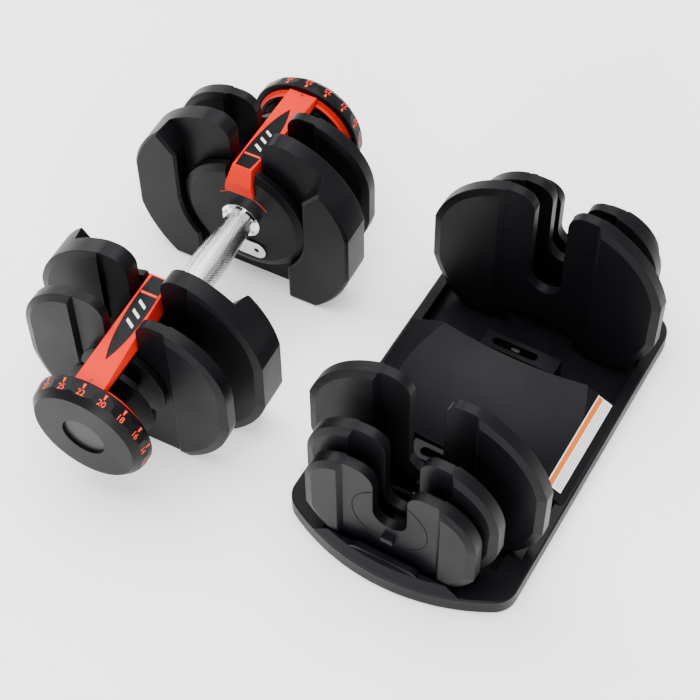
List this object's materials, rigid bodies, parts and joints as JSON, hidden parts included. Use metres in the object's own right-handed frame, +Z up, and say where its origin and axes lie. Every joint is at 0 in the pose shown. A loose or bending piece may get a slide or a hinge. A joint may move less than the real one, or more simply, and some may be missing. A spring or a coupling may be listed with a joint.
{
  "type": "adjustable dumbbell",
  "caption": "Dial-select adjustable dumbbell with plastic-covered plates, chrome grip and red bridge arms, standing beside its storage tray.",
  "frame": {"origin": "on the floor, at the middle of the layout's bounding box", "axes": "+Z up; the tray's length and the handle's axle run along X (the dumbbell is turned 2.5 degrees); the dumbbell stands on the +Y side of the tray"},
  "size_m": [0.4622, 0.5299, 0.1963],
  "materials": {
    "tray_plastic": "fine grain, soft sheen",
    "plate_cover": "fine grain, soft sheen",
    "black_plastic": "satin",
    "disc_plastic": "satin",
    "red_plastic": "satin gloss",
    "badge_plastic": "satin",
    "chrome": "polished, knurled grip zones",
    "bare_steel": "satin",
    "black_steel": "black oxide",
    "foot_rubber": "matt",
    "label_film": "printed film"
  },
  "bodies": {
    "tray": {"tray_shell": "tray_plastic", "tray_lock_posts": "bare_steel", "tray_feet": "foot_rubber", "tray_label": "label_film"},
    "dumbbell": {"grip": "chrome", "core_rod": "bare_steel", "far_collar": "chrome", "near_collar": "chrome", "far_guard_disc": "black_plastic", "near_guard_disc": "black_plastic", "far_arm": "red_plastic", "near_arm": "red_plastic", "far_arm_inlay": "black_plastic", "near_arm_inlay": "black_plastic", "far_arm_screw": "black_steel", "near_arm_screw": "black_steel", "far_detent_ball": "bare_steel", "near_detent_ball": "bare_steel", "far_detent_spring": "bare_steel", "near_detent_spring": "bare_steel", "far_inner_plate": "plate_cover", "near_inner_plate": "plate_cover", "far_outer_plate": "plate_cover", "near_outer_plate": "plate_cover"},
    "far_selector": {"far_dial": "black_plastic", "far_badge": "badge_plastic", "far_end_screw": "black_steel", "far_selector_shaft": "bare_steel", "far_selector_disc_1": "disc_plastic", "far_selector_disc_2": "disc_plastic", "far_selector_disc_3": "disc_plastic", "far_selector_disc_4": "disc_plastic", "far_selector_disc_5": "disc_plastic"},
    "far_tongue": {"far_lock_tongue": "bare_steel"},
    "far_large_plate": {"far_tray_plate_large": "plate_cover"},
    "far_medium_plate": {"far_tray_plate_medium": "plate_cover"},
    "far_small_plate": {"far_tray_plate_small": "plate_cover"},
    "near_selector": {"near_dial": "black_plastic", "near_badge": "badge_plastic", "near_end_screw": "black_steel", "near_selector_shaft": "bare_steel", "near_selector_disc_1": "disc_plastic", "near_selector_disc_2": "disc_plastic", "near_selector_disc_3": "disc_plastic", "near_selector_disc_4": "disc_plastic", "near_selector_disc_5": "disc_plastic"},
    "near_tongue": {"near_lock_tongue": "bare_steel"},
    "near_large_plate": {"near_tray_plate_large": "plate_cover"},
    "near_medium_plate": {"near_tray_plate_medium": "plate_cover"},
    "near_small_plate": {"near_tray_plate_small": "plate_cover"}
  },
  "joints": [
    {"name": "dumbbell_lift", "type": "slide", "parent": "tray", "child": "dumbbell", "axis": [0, 0, 1], "range_m": [0, 0.25]},
    {"name": "far_dial_turn", "type": "hinge", "parent": "dumbbell", "child": "far_selector", "pos_m": [-0.0071, 0.14265, 0.091], "axis": [0.999, 0.0436, 0], "continuous": true},
    {"name": "far_tongue_lift", "type": "slide", "parent": "dumbbell", "child": "far_tongue", "axis": [0, 0, 1], "range_m": [0, 0.004], "stiffness_N_per_m": 400},
    {"name": "far_large_plate_lift", "type": "slide", "parent": "tray", "child": "far_large_plate", "axis": [0, 0, 1], "range_m": [0, 0.15]},
    {"name": "far_medium_plate_lift", "type": "slide", "parent": "tray", "child": "far_medium_plate", "axis": [0, 0, 1], "range_m": [0, 0.15]},
    {"name": "far_small_plate_lift", "type": "slide", "parent": "tray", "child": "far_small_plate", "axis": [0, 0, 1], "range_m": [0, 0.15]},
    {"name": "near_dial_turn", "type": "hinge", "parent": "dumbbell", "child": "near_selector", "pos_m": [-0.0071, 0.14265, 0.091], "axis": [0.999, 0.0436, 0], "continuous": true},
    {"name": "near_tongue_lift", "type": "slide", "parent": "dumbbell", "child": "near_tongue", "axis": [0, 0, 1], "range_m": [0, 0.004], "stiffness_N_per_m": 400},
    {"name": "near_large_plate_lift", "type": "slide", "parent": "tray", "child": "near_large_plate", "axis": [0, 0, 1], "range_m": [0, 0.15]},
    {"name": "near_medium_plate_lift", "type": "slide", "parent": "tray", "child": "near_medium_plate", "axis": [0, 0, 1], "range_m": [0, 0.15]},
    {"name": "near_small_plate_lift", "type": "slide", "parent": "tray", "child": "near_small_plate", "axis": [0, 0, 1], "range_m": [0, 0.15]}
  ]
}
